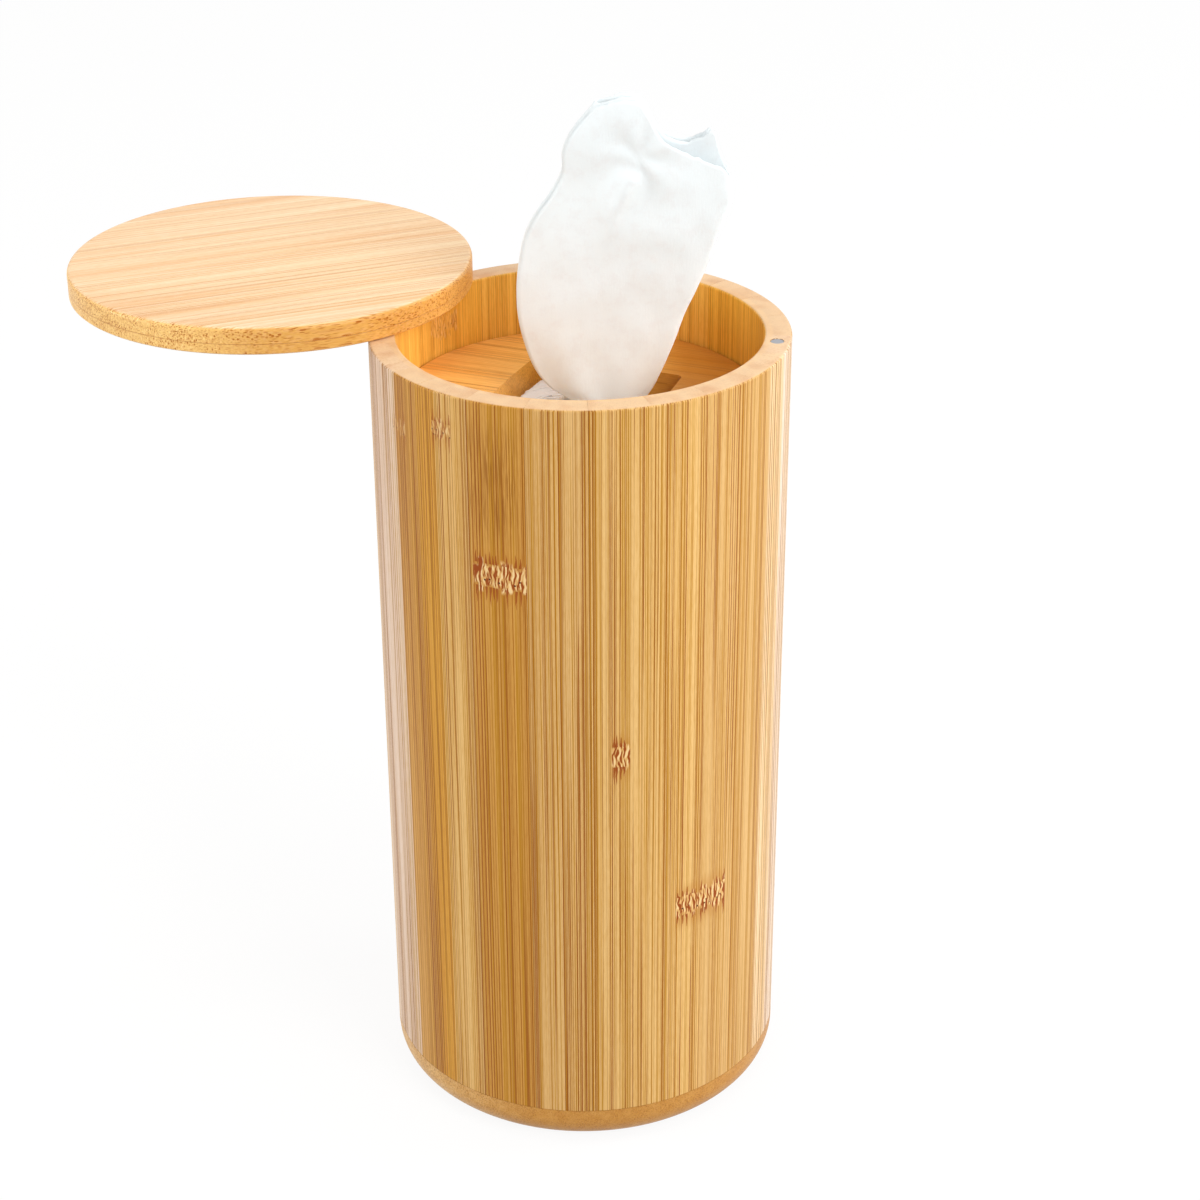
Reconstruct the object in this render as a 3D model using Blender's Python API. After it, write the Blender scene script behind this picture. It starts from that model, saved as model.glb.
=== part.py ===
"""A bamboo wipes dispenser: a tall turned canister with a round lid that swings on a pin.

The wall is glued up from upright bamboo staves and turned round. A counterbore at the mouth leaves
a ledge, and the loose inner plate lies on it. Its square opening feeds a wipe from the roll below.
Lengths are in metres and angles in degrees. The origin is the centre of the underside, with +Z up
and the photographed front at -Y.
"""

import math

import bmesh
import bpy
from mathutils import Vector

TURN = 2 * math.pi

# Canister wall
BODY_DIAMETER = 0.125
RIM_WALL = 0.0081           # wall left round the counterbore at the mouth
LEDGE_WIDTH = 0.002         # step that carries the inner plate
STAVE_LENGTH = 0.2387
STAVE_COUNT = 22
STAVE_GLUE_LINE = 0.0001
STAVE_FACETS = 4            # facets across the face of one stave
FIRST_JOINT_DEG = -104.5    # one glue line, measured from +X
RIM_EASE = 0.0008           # rounding of both rim edges

# Base disc, glued into the wall by its spigot
BASE_THICKNESS = 0.013
BASE_FILLET = 0.010
BASE_GLUE_LINE = 0.00015
SPIGOT_HEIGHT = 0.005
SPIGOT_FIT = 0.0002

# Inner plate, loose on the ledge
RECESS_DEPTH = 0.0204       # rim down to the plate's face
PLATE_THICKNESS = 0.0092
PLATE_FIT = 0.0004          # round its edge
PLATE_EASE = 0.0005
SEAT_GAP = 0.0003           # between loose pieces that rest on each other
OPENING_SIDE = 0.0478
OPENING_BOW = 0.0008        # how far the middle of each side stands out
OPENING_TURN_DEG = -21.5
OPENING_SIDE_STEPS = 4

# Pivot pin, set in the wall and turning in the lid
PIVOT_DEG = 183.5
PIN_DIAMETER = 0.004
PIN_IN_WALL = 0.025
PIN_IN_LID = 0.006
PIN_END_EASE = 0.0004
PIN_GLUE_LINE = 0.00005
PIN_RUNNING_CLEARANCE = 0.0001
PIN_END_PLAY = 0.0003

# Magnet discs, one in the rim and one in the lid
MAGNET_DIAMETER = 0.005
MAGNET_THICKNESS = 0.003
MAGNET_DEG = -10.7
MAGNET_GLUE_LINE = 0.0001
MAGNET_SINK = 0.0001        # below the wood's face

# Lid, two plies glued face to face
LID_INSET = 0.0005          # its edge inside the canister's face when shut
LID_TOP_PLY = 0.0050
LID_BOTTOM_PLY = 0.0032
LID_GLUE_LINE = 0.00005
LID_TOP_ROUND = 0.0014
LID_UNDER_EASE = 0.0004
LID_LIFT = 0.0003           # running gap over the rim
LID_SWING_DEG = 125.5       # how far open the photographed lid stands

# Roll of wipes, fed from its centre. It fills the canister but for the room round and over it.
ROLL_SIDE_ROOM = 0.0024
ROLL_HEADROOM = 0.00395     # to the inner plate
ROLL_CORE_DIAMETER = 0.030
ROLL_EDGE_ROUND = 0.0025

# Pulled wipe: three panels folded in a Z, from inside the roll's core up through the opening
WIPE_RISE = 0.0902          # free height over the plate
WIPE_SPREAD = 0.0627        # width where it is widest
WIPE_THICKNESS = 0.0008
WIPE_FOLD_RADIUS = 0.0017   # of the two turns between the panels
WIPE_BELLY = 0.0030         # how far the outer panels bulge
WIPE_RIPPLE = 0.0012
WIPE_TAIL = 0.012           # length inside the core
WIPE_SETBACK = 0.0015       # how far the middle panel stands in front of the canister's axis
WIPE_PANEL_STEPS = 8
WIPE_TURN_STEPS = 4
WIPE_ROWS = 15
# Height as a share of the rise, then left and right edges as shares of the spread, from the axis
WIPE_OUTLINE_SHARES = (
    (0.000, -0.050, 0.310),
    (0.045, -0.145, 0.350),
    (0.110, -0.215, 0.390),
    (0.205, -0.265, 0.443),
    (0.295, -0.290, 0.488),
    (0.377, -0.293, 0.542),
    (0.472, -0.278, 0.600),
    (0.560, -0.247, 0.638),
    (0.633, -0.195, 0.680),
    (0.705, -0.124, 0.705),
    (0.775, -0.078, 0.707),
    (0.911, -0.030, 0.700),
    (1.000, 0.075, 0.686),
)
# Share of the width from the left, then height of the top edge there as a share of the rise
WIPE_TOP_SHARES = ((0.0, 0.985), (0.32, 1.0), (0.475, 0.896), (0.676, 0.860), (0.84, 0.892), (1.0, 0.750))
WIPE_TOP_BLEND_SHARE = 0.45     # from here up, rows follow the top edge
WIPE_BELLY_START_SHARE = 0.2
WIPE_RIPPLE_TURNS = 1.5
WIPE_RIPPLE_LEAN_TURNS = 0.4

# Facets round a full turn
ROUND_FACETS = STAVE_COUNT * STAVE_FACETS
ROLL_FACETS = 48
PIN_FACETS = 32
MAGNET_FACETS = 24
EASE_STEPS = 2
FILLET_STEPS = 5
LID_ROUND_STEPS = 3
CUT_OVERRUN = 0.002
MERGE_DISTANCE = 0.000001
SHARP_DEG = 35.0

# Worked out from the sizes above
BODY_RADIUS = BODY_DIAMETER / 2
BORE_RADIUS = BODY_RADIUS - RIM_WALL
LOWER_BORE_RADIUS = BORE_RADIUS - LEDGE_WIDTH
WALL_MIDDLE_RADIUS = (BODY_RADIUS + BORE_RADIUS) / 2
STAVE_FOOT_Z = BASE_THICKNESS + BASE_GLUE_LINE
RIM_Z = STAVE_FOOT_Z + STAVE_LENGTH
PLATE_TOP_Z = RIM_Z - RECESS_DEPTH
PLATE_UNDER_Z = PLATE_TOP_Z - PLATE_THICKNESS
LEDGE_Z = PLATE_UNDER_Z - SEAT_GAP
SPIGOT_TOP_Z = BASE_THICKNESS + SPIGOT_HEIGHT
ROLL_DIAMETER = 2 * (LOWER_BORE_RADIUS - ROLL_SIDE_ROOM)
ROLL_UNDER_Z = SPIGOT_TOP_Z + SEAT_GAP
ROLL_TOP_Z = PLATE_UNDER_Z - ROLL_HEADROOM
LID_DIAMETER = BODY_DIAMETER - 2 * LID_INSET
LID_RADIUS = LID_DIAMETER / 2
LID_SPLIT = LID_LIFT + LID_BOTTOM_PLY


def clear_scene():
    for obj in list(bpy.data.objects):
        bpy.data.objects.remove(obj, do_unlink=True)


def finish(name, colour, roughness, metallic=0.0):
    """One Principled finish, shared by the pieces that name it."""
    made = bpy.data.materials.get(name)
    if made:
        return made
    made = bpy.data.materials.new(name)
    made.use_nodes = True
    shader = made.node_tree.nodes["Principled BSDF"]
    shader.inputs["Base Color"].default_value = (*colour, 1.0)
    shader.inputs["Roughness"].default_value = roughness
    shader.inputs["Metallic"].default_value = metallic
    return made


def stave_finish(index):
    """Neighbouring staves come from different culms, so their tints step about."""
    tints = ((0.72, 0.44, 0.17), (0.80, 0.53, 0.24), (0.66, 0.38, 0.13), (0.76, 0.48, 0.20))
    return finish(f"bamboo_{index % len(tints)}", tints[index % len(tints)], 0.45)


def pale_bamboo():
    return finish("bamboo_pale", (0.86, 0.62, 0.35), 0.42)


def dark_bamboo():
    return finish("bamboo_dark", (0.70, 0.39, 0.13), 0.45)


def magnet_plating():
    return finish("magnet_plating", (0.62, 0.63, 0.65), 0.35, 1.0)


def polar(radius, degrees, height=0.0):
    angle = math.radians(degrees)
    return Vector((radius * math.cos(angle), radius * math.sin(angle), height))


def arc(centre_r, centre_z, radius, from_deg, to_deg, steps):
    """Points of a rounded corner in an outline of (radius, height) pairs."""
    points = []
    for step in range(steps + 1):
        angle = math.radians(from_deg + (to_deg - from_deg) * step / steps)
        points.append((centre_r + radius * math.cos(angle), centre_z + radius * math.sin(angle)))
    return points


def add_object(name, bm, material):
    bmesh.ops.remove_doubles(bm, verts=bm.verts, dist=MERGE_DISTANCE)
    bmesh.ops.recalc_face_normals(bm, faces=bm.faces)
    mesh = bpy.data.meshes.new(name)
    bm.to_mesh(mesh)
    bm.free()
    mesh.shade_smooth()
    mesh.set_sharp_from_angle(angle=math.radians(SHARP_DEG))
    obj = bpy.data.objects.new(name, mesh)
    bpy.context.scene.collection.objects.link(obj)
    if material:
        mesh.materials.append(material)
    return obj


def turned(name, outline, material, facets=ROUND_FACETS, start_deg=0.0, sweep_deg=360.0):
    """A solid turned about Z from a closed (radius, height) outline, whole or a sector of it."""
    whole = sweep_deg == 360.0
    bm = bmesh.new()
    rings = []
    for step in range(facets if whole else facets + 1):
        angle = math.radians(start_deg + sweep_deg * step / facets)
        rings.append([bm.verts.new((r * math.cos(angle), r * math.sin(angle), z)) for r, z in outline])
    for step in range(facets):
        here, there = rings[step], rings[(step + 1) % len(rings)]
        for i in range(len(outline)):
            j = (i + 1) % len(outline)
            if outline[i][0] == 0 and outline[j][0] == 0:
                continue
            bm.faces.new((here[i], there[i], there[j], here[j]))
    if not whole:
        bm.faces.new(rings[0])
        bm.faces.new(rings[-1])
    return add_object(name, bm, material)


def rod(name, radius, low, high, material, facets, ease=0.0):
    """A round bar on Z, with both ends eased if asked."""
    outline = [(0.0, low)]
    if ease:
        outline += [(radius - ease, low), (radius, low + ease), (radius, high - ease), (radius - ease, high)]
    else:
        outline += [(radius, low), (radius, high)]
    return turned(name, outline + [(0.0, high)], material, facets)


def cut(target, cutter):
    cutter.hide_render = True
    cutter.display_type = "WIRE"
    modifier = target.modifiers.new(cutter.name, "BOOLEAN")
    modifier.operation = "DIFFERENCE"
    modifier.solver = "EXACT"
    modifier.object = cutter


def make_staves():
    """The wall's sectors, each with the rounded rim, the counterbore and the plate's ledge."""
    rim_corner = RIM_Z - RIM_EASE
    outline = [(BODY_RADIUS, STAVE_FOOT_Z)]
    outline += arc(BODY_RADIUS - RIM_EASE, rim_corner, RIM_EASE, 0, 90, EASE_STEPS)
    outline += arc(BORE_RADIUS + RIM_EASE, rim_corner, RIM_EASE, 90, 180, EASE_STEPS)
    outline += [(BORE_RADIUS, LEDGE_Z), (LOWER_BORE_RADIUS, LEDGE_Z), (LOWER_BORE_RADIUS, STAVE_FOOT_Z)]
    pitch = 360.0 / STAVE_COUNT
    glue = math.degrees(STAVE_GLUE_LINE / BODY_RADIUS)
    staves = []
    for index in range(STAVE_COUNT):
        start = FIRST_JOINT_DEG + pitch * index + glue / 2
        staves.append(turned(f"stave_{index + 1:02d}", outline, stave_finish(index), STAVE_FACETS,
                             start, pitch - glue))
    return staves


def stave_at(staves, degrees):
    """The stave whose face holds this direction."""
    pitch = 360.0 / STAVE_COUNT
    return staves[int(((degrees - FIRST_JOINT_DEG) % 360.0) // pitch)]


def make_base():
    """Full-width foot with a rounded lower edge and a spigot that fits the bore."""
    spigot = LOWER_BORE_RADIUS - SPIGOT_FIT
    outline = [(0.0, 0.0)]
    outline += arc(BODY_RADIUS - BASE_FILLET, BASE_FILLET, BASE_FILLET, -90, 0, FILLET_STEPS)
    outline += [(BODY_RADIUS, BASE_THICKNESS), (spigot, BASE_THICKNESS), (spigot, SPIGOT_TOP_Z),
                (0.0, SPIGOT_TOP_Z)]
    return turned("base_disc", outline, pale_bamboo())


def opening_outline():
    """The plate's square opening, whose sides bow out a little, turned as the plate lies."""
    half = OPENING_SIDE / 2
    turn = math.radians(OPENING_TURN_DEG)
    points = []
    for side in range(4):
        for step in range(OPENING_SIDE_STEPS):
            along = 2 * step / OPENING_SIDE_STEPS - 1
            corner = Vector((half * along, -half - OPENING_BOW * (1 - along * along), 0.0))
            angle = turn + side * TURN / 4
            points.append((corner.x * math.cos(angle) - corner.y * math.sin(angle),
                           corner.x * math.sin(angle) + corner.y * math.cos(angle)))
    return points


def make_inner_plate():
    radius = BORE_RADIUS - PLATE_FIT
    outline = [(0.0, 0.0), (radius - PLATE_EASE, 0.0), (radius, PLATE_EASE),
               (radius, PLATE_THICKNESS - PLATE_EASE), (radius - PLATE_EASE, PLATE_THICKNESS),
               (0.0, PLATE_THICKNESS)]
    plate = turned("inner_plate", outline, dark_bamboo())
    bm = bmesh.new()
    low = [bm.verts.new((x, y, -CUT_OVERRUN)) for x, y in opening_outline()]
    high = [bm.verts.new((x, y, PLATE_THICKNESS + CUT_OVERRUN)) for x, y in opening_outline()]
    for i in range(len(low)):
        j = (i + 1) % len(low)
        bm.faces.new((low[i], low[j], high[j], high[i]))
    bm.faces.new(low)
    bm.faces.new(high)
    cutter = add_object("opening_cutter", bm, None)
    cutter.parent = plate
    cut(plate, cutter)
    plate.location.z = PLATE_UNDER_Z
    return plate


def make_pin(staves):
    """Pivot pin, and its hole down into the one stave that holds it."""
    place = polar(WALL_MIDDLE_RADIUS, PIVOT_DEG, RIM_Z)
    steel = finish("pin_steel", (0.60, 0.60, 0.62), 0.3, 1.0)
    pin = rod("pivot_pin", PIN_DIAMETER / 2, -PIN_IN_WALL, PIN_IN_LID, steel, PIN_FACETS, PIN_END_EASE)
    hole_radius = PIN_DIAMETER / 2 + PIN_GLUE_LINE
    hole = rod("pin_hole_cutter", hole_radius, -PIN_IN_WALL - SEAT_GAP, CUT_OVERRUN, None, PIN_FACETS)
    pin.location = place
    hole.location = place
    cut(stave_at(staves, PIVOT_DEG), hole)


def make_rim_magnet(staves):
    place = polar(WALL_MIDDLE_RADIUS, MAGNET_DEG, RIM_Z)
    low = -MAGNET_SINK - MAGNET_THICKNESS
    magnet = rod("rim_magnet", MAGNET_DIAMETER / 2, low, -MAGNET_SINK, magnet_plating(), MAGNET_FACETS)
    pocket = rod("rim_magnet_cutter", MAGNET_DIAMETER / 2 + MAGNET_GLUE_LINE, low - MAGNET_GLUE_LINE,
                 CUT_OVERRUN, None, MAGNET_FACETS)
    magnet.location = place
    pocket.location = place
    cut(stave_at(staves, MAGNET_DEG), pocket)


def make_lid():
    """Two plies, a magnet and the pin's blind hole, all hung on an empty at the pivot."""
    pivot = polar(WALL_MIDDLE_RADIUS, PIVOT_DEG, RIM_Z)
    hinge = bpy.data.objects.new("lid_pivot", None)
    bpy.context.scene.collection.objects.link(hinge)
    hinge.location = pivot
    hinge.rotation_euler.z = math.radians(LID_SWING_DEG)
    centre = Vector((-pivot.x, -pivot.y, 0.0))

    top_low = LID_SPLIT + LID_GLUE_LINE
    top_high = top_low + LID_TOP_PLY
    outline = [(0.0, top_low), (LID_RADIUS, top_low)]
    outline += arc(LID_RADIUS - LID_TOP_ROUND, top_high - LID_TOP_ROUND, LID_TOP_ROUND, 0, 90,
                   LID_ROUND_STEPS)
    top = turned("lid_top_ply", outline + [(0.0, top_high)], pale_bamboo())

    outline = [(0.0, LID_LIFT), (LID_RADIUS - LID_UNDER_EASE, LID_LIFT),
               (LID_RADIUS, LID_LIFT + LID_UNDER_EASE), (LID_RADIUS, LID_SPLIT), (0.0, LID_SPLIT)]
    bottom = turned("lid_bottom_ply", outline, pale_bamboo())

    low = LID_LIFT + MAGNET_SINK
    high = low + MAGNET_THICKNESS
    magnet = rod("lid_magnet", MAGNET_DIAMETER / 2, low, high, magnet_plating(), MAGNET_FACETS)
    over_rim_magnet = centre + polar(WALL_MIDDLE_RADIUS, MAGNET_DEG)

    # The bottom ply is drilled through for the magnet, and a thicker magnet would also sink into the top ply
    drill_radius = MAGNET_DIAMETER / 2 + MAGNET_GLUE_LINE
    drill = rod("lid_drill_cutter", drill_radius, LID_LIFT - CUT_OVERRUN, LID_SPLIT + CUT_OVERRUN, None,
                MAGNET_FACETS)
    pocket = rod("lid_pocket_cutter", drill_radius, LID_LIFT - CUT_OVERRUN, high + MAGNET_GLUE_LINE, None,
                 MAGNET_FACETS)
    hole = rod("lid_hole_cutter", PIN_DIAMETER / 2 + PIN_RUNNING_CLEARANCE, LID_LIFT - CUT_OVERRUN,
               PIN_IN_LID + PIN_END_PLAY, None, PIN_FACETS)
    for obj, place in ((top, centre), (bottom, centre), (magnet, over_rim_magnet),
                       (drill, over_rim_magnet), (pocket, over_rim_magnet), (hole, Vector())):
        obj.parent = hinge
        obj.location = place
    cut(top, hole)
    cut(bottom, hole)
    cut(top, pocket)
    cut(bottom, drill)


def make_roll():
    """Plain wound roll with a hollow core, standing on the spigot."""
    outer, core, ease = ROLL_DIAMETER / 2, ROLL_CORE_DIAMETER / 2, ROLL_EDGE_ROUND
    outline = [(core, ROLL_UNDER_Z)]
    outline += arc(outer - ease, ROLL_UNDER_Z + ease, ease, -90, 0, EASE_STEPS)
    outline += arc(outer - ease, ROLL_TOP_Z - ease, ease, 0, 90, EASE_STEPS)
    outline += [(core, ROLL_TOP_Z)]
    return turned("wipes_roll", outline, finish("wipe_roll", (0.88, 0.86, 0.84), 0.9), ROLL_FACETS)


def between(rows, share):
    """The values at this share of the first column, read from a table by straight lines."""
    for low, high in zip(rows, rows[1:]):
        if share <= high[0]:
            part = (share - low[0]) / (high[0] - low[0])
            return [a + (b - a) * part for a, b in zip(low[1:], high[1:])]
    return list(rows[-1][1:])


def smooth_step(share):
    share = min(max(share, 0.0), 1.0)
    return share * share * (3 - 2 * share)


def wipe_stations():
    """(height, left, right, height share) up the wipe: the tail in the core, then the free part."""
    core_side = math.sqrt((ROLL_CORE_DIAMETER / 2) ** 2 - (2 * WIPE_FOLD_RADIUS) ** 2)
    tail_side = core_side - SEAT_GAP - WIPE_THICKNESS
    foot = ROLL_TOP_Z - WIPE_TAIL
    left, right = [side * WIPE_SPREAD for side in WIPE_OUTLINE_SHARES[0][1:]]
    stations = [(foot, -tail_side, tail_side, 0.0), (ROLL_TOP_Z, -tail_side, tail_side, 0.0),
                (PLATE_UNDER_Z, (left - tail_side) / 2, (right + tail_side) / 2, 0.0)]
    for row in range(WIPE_ROWS):
        share = row / (WIPE_ROWS - 1)
        left, right = between(WIPE_OUTLINE_SHARES, share)
        stations.append((PLATE_TOP_Z + WIPE_RISE * share, WIPE_SPREAD * left, WIPE_SPREAD * right, share))
    return stations


def z_fold(width):
    """Plan of one row: (across, depth, panel side) with three panels and the two turns between."""
    r = WIPE_FOLD_RADIUS
    points = []
    for step in range(WIPE_PANEL_STEPS):
        points.append(((width - r) * step / WIPE_PANEL_STEPS, -2 * r, -1.0))
    for step in range(WIPE_TURN_STEPS):
        angle = math.pi * step / WIPE_TURN_STEPS
        points.append((width - r + r * math.sin(angle), -r - r * math.cos(angle), -0.5))
    for step in range(WIPE_PANEL_STEPS):
        points.append((width - r - (width - 2 * r) * step / WIPE_PANEL_STEPS, 0.0, 0.0))
    for step in range(WIPE_TURN_STEPS):
        angle = math.pi * step / WIPE_TURN_STEPS
        points.append((r - r * math.sin(angle), r - r * math.cos(angle), 0.5))
    for step in range(WIPE_PANEL_STEPS + 1):
        points.append((r + (width - r) * step / WIPE_PANEL_STEPS, 2 * r, 1.0))
    return points


def make_pulled_wipe():
    """A thin folded sheet, gathered in the opening and fanned out above it."""
    bm = bmesh.new()
    rows = []
    for height, left, right, share in wipe_stations():
        width = right - left
        belly = WIPE_BELLY * smooth_step(share / WIPE_BELLY_START_SHARE)
        row = []
        for across, depth, side in z_fold(width):
            part = across / width
            crown = math.sin(math.pi * min(max(part, 0.0), 1.0))
            turns = WIPE_RIPPLE_TURNS * part + WIPE_RIPPLE_LEAN_TURNS * share
            ripple = WIPE_RIPPLE * math.sin(TURN * turns)
            y = -WIPE_SETBACK + depth + side * belly * crown + ripple * smooth_step(share)
            drop = 1 - between(WIPE_TOP_SHARES, part)[0]
            drop *= smooth_step((share - WIPE_TOP_BLEND_SHARE) / (1 - WIPE_TOP_BLEND_SHARE))
            row.append(bm.verts.new((left + across, y, height - WIPE_RISE * drop)))
        rows.append(row)
    for low, high in zip(rows, rows[1:]):
        for i in range(len(low) - 1):
            bm.faces.new((low[i], low[i + 1], high[i + 1], high[i]))
    wipe = add_object("pulled_wipe", bm, finish("wipe_cloth", (0.93, 0.92, 0.91), 0.9))
    shell = wipe.modifiers.new("sheet", "SOLIDIFY")
    shell.thickness = WIPE_THICKNESS
    shell.offset = 0.0
    return wipe


def main():
    clear_scene()
    staves = make_staves()
    make_base()
    make_inner_plate()
    make_pin(staves)
    make_rim_magnet(staves)
    make_lid()
    make_roll()
    make_pulled_wipe()


main()
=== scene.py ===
import math

import bmesh
import bpy
from mathutils import Matrix, Vector, noise


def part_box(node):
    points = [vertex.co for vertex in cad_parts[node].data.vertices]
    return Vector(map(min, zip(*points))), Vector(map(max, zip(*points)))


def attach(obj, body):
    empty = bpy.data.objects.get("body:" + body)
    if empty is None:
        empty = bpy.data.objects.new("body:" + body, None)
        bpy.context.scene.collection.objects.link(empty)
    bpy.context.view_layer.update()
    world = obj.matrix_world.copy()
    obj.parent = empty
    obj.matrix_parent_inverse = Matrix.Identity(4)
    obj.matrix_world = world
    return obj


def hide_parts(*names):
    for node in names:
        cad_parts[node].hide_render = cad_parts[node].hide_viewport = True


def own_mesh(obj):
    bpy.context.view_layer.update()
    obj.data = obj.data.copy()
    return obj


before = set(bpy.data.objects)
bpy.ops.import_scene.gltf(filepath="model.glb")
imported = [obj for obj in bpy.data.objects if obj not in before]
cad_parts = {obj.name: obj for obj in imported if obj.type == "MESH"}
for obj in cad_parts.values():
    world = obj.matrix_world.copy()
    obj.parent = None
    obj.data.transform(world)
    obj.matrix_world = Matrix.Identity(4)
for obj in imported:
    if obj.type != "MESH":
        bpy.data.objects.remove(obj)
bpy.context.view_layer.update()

mm = 0.001
fullTurn = 2 * math.pi
sharpDeg = 30.0  # faces that meet at more than this show an edge
plainWhite = (1.0, 1.0, 1.0, 1.0)


# Sizes read from the frame

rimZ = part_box("stave_01")[1][2]
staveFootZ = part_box("stave_01")[0][2]
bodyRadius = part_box("base_disc")[1][0]
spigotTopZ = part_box("base_disc")[1][2]
plateLow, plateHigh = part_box("inner_plate")
rollLow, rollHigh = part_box("wipes_roll")
wipeLow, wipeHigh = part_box("pulled_wipe")


def middleOf(node):
    low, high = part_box(node)
    return Vector([(low[i] + high[i]) / 2 for i in range(3)])


def boxRadius(node):
    low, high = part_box(node)
    return (high[0] - low[0]) / 2


def addObject(name, data):
    made = bpy.data.objects.new(name, data)
    bpy.context.scene.collection.objects.link(made)
    return made


# Camera, first of all

photoCamera = {
    "lens": 76.65,
    "place": (0.0, -709.31 * mm, 268.81 * mm),  # from the middle of the rim
    "yawDeg": 0.448,
    "pitchDeg": 26.81,
    "rollDeg": -0.224,
}


def makeCamera():
    yaw, pitch, roll = [math.radians(photoCamera[key]) for key in ("yawDeg", "pitchDeg", "rollDeg")]
    ahead = Vector((math.sin(yaw) * math.cos(pitch), math.cos(yaw) * math.cos(pitch), -math.sin(pitch)))
    level = Vector((math.cos(yaw), -math.sin(yaw), 0.0))
    upright = level.cross(ahead)
    right = math.cos(roll) * level + math.sin(roll) * upright
    up = math.cos(roll) * upright - math.sin(roll) * level
    camera = addObject("photo_camera", bpy.data.cameras.new("photo_camera"))
    camera.data.lens = photoCamera["lens"]
    turned = Matrix((right, up, -ahead)).transposed().to_4x4()
    camera.matrix_world = Matrix.Translation(Vector(photoCamera["place"]) + Vector((0, 0, rimZ))) @ turned
    bpy.context.scene.camera = camera


makeCamera()
print("camera placed")


# Node writing

class Wire:  # one output socket that sums can be written on
    def __init__(self, paint, socket):
        self.paint, self.socket = paint, socket

    def other(self, name):
        return Wire(self.paint, self.socket.node.outputs[name])

    def math(self, operation, *values):
        return self.paint.add("Math", {"operation": operation}, dict(enumerate(values)))

    def __add__(self, value):
        return self.math("ADD", self, value)

    def __sub__(self, value):
        return self.math("SUBTRACT", self, value)

    def __rsub__(self, value):
        return self.math("SUBTRACT", value, self)

    def __mul__(self, value):
        return self.math("MULTIPLY", self, value)

    def __truediv__(self, value):
        return self.math("DIVIDE", self, value)

    def __gt__(self, value):
        return self.math("GREATER_THAN", self, value)

    def __lt__(self, value):
        return self.math("LESS_THAN", self, value)

    def __abs__(self):
        return self.math("ABSOLUTE", self)

    __radd__ = __add__
    __rmul__ = __mul__


class Paint:  # the nodes of one material, or of the world
    def __init__(self, data):
        self.data, self.tree = data, data.node_tree
        if not self.tree:
            data.use_nodes = True
            self.tree = data.node_tree
        self.tree.nodes.clear()

    def add(self, kind, settings=None, sockets=None, out=0):
        made = self.tree.nodes.new("ShaderNode" + kind)
        for name, value in (settings or {}).items():
            if name == "stops":
                self.setStops(made.color_ramp, value)
            else:
                setattr(made, name, value)
        for name, value in (sockets or {}).items():
            if isinstance(value, Wire):
                self.tree.links.new(value.socket, made.inputs[name])
            else:
                made.inputs[name].default_value = value
        return Wire(self, made.outputs[out]) if len(made.outputs) else None

    def setStops(self, ramp, stops):  # flat steps of colour
        ramp.interpolation = "CONSTANT"
        ramp.elements.remove(ramp.elements[1])
        ramp.elements[0].position, ramp.elements[0].color = stops[0]
        for place, colour in stops[1:]:
            ramp.elements.new(place).color = colour

    def vector(self, x, y, z):
        return self.add("CombineXYZ", None, {0: x, 1: y, 2: z})

    def split(self, vector):
        parts = self.add("SeparateXYZ", None, {0: vector})
        return parts, parts.other("Y"), parts.other("Z")

    def noise(self, place, detail=1.0):
        return self.add("TexNoise", None, {"Vector": place, "Scale": 1.0, "Detail": detail})

    def stretched(self, x, y, z, size, run, detail=2.0):  # one size across, another along z
        return self.noise(self.vector(x / size, y / size, z / run), detail)

    def cells(self, place):
        return self.add("TexVoronoi", {"voronoi_dimensions": "2D"}, {"Vector": place, "Scale": 1.0})

    def smooth(self, value, low, high):
        return self.add("MapRange", {"interpolation_type": "SMOOTHSTEP"}, {0: value, 1: low, 2: high})

    def atLeast(self, value, least, none, full):  # as smooth, but from least up to 1
        return least + (1 - least) * self.smooth(value, none, full)

    def mix(self, share, first, second, blend="MIX"):
        return self.add("Mix", {"data_type": "RGBA", "blend_type": blend}, {0: share, 6: first, 7: second}, 2)

    def place(self):  # millimetres from the frame's origin, at rest
        return [part * (1 / mm) for part in self.split(self.add("TexCoord", None, None, "Object"))]

    def normal(self):
        return self.split(self.add("TexCoord", None, None, "Normal"))

    def finish(self, colour, rough, height=None, relief=0.0, fixed=None):
        sockets = {"Base Color": colour, "Roughness": rough, **(fixed or {})}
        if height:
            sockets["Normal"] = self.add("Bump", None, {"Height": height, "Distance": relief})
        shader = self.add("BsdfPrincipled", None, sockets)
        self.add("OutputMaterial", None, {"Surface": shader})
        return self.data


def newPaint(name):
    material = bpy.data.materials.new(name)
    material.use_nodes = True
    return Paint(material)


def rgb(red, green, blue):  # a colour as a screen shows it, 0 to 255
    def linear(value):
        value /= 255
        return value / 12.92 if value <= 0.04045 else ((value + 0.055) / 1.055) ** 2.4
    return (linear(red), linear(green), linear(blue), 1.0)


# Studio

studio = {
    "skyLight": 0.72,
    "skyTint": (1.0, 0.99, 0.975, 1.0),
    # place, size and watts
    "key_lamp": ((1.25, -1.45, 1.25), 1.2, 24.0),
    "top_lamp": ((0.2, -0.2, 2.2), 1.0, 5.0),
    "left_lamp": ((-1.5, -0.2, 0.4), 0.5, 7.0),
    "right_lamp": ((1.5, 0.2, 0.75), 0.6, 8.0),
    "floorSize": 8.0,
    "floorGap": 0.2 * mm,
    "floorBounce": (0.50, 0.50, 0.50, 1.0),
    "floorWhite": 0.90,  # how much of the floor is plain white to the eye, over its shadow
}


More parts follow.
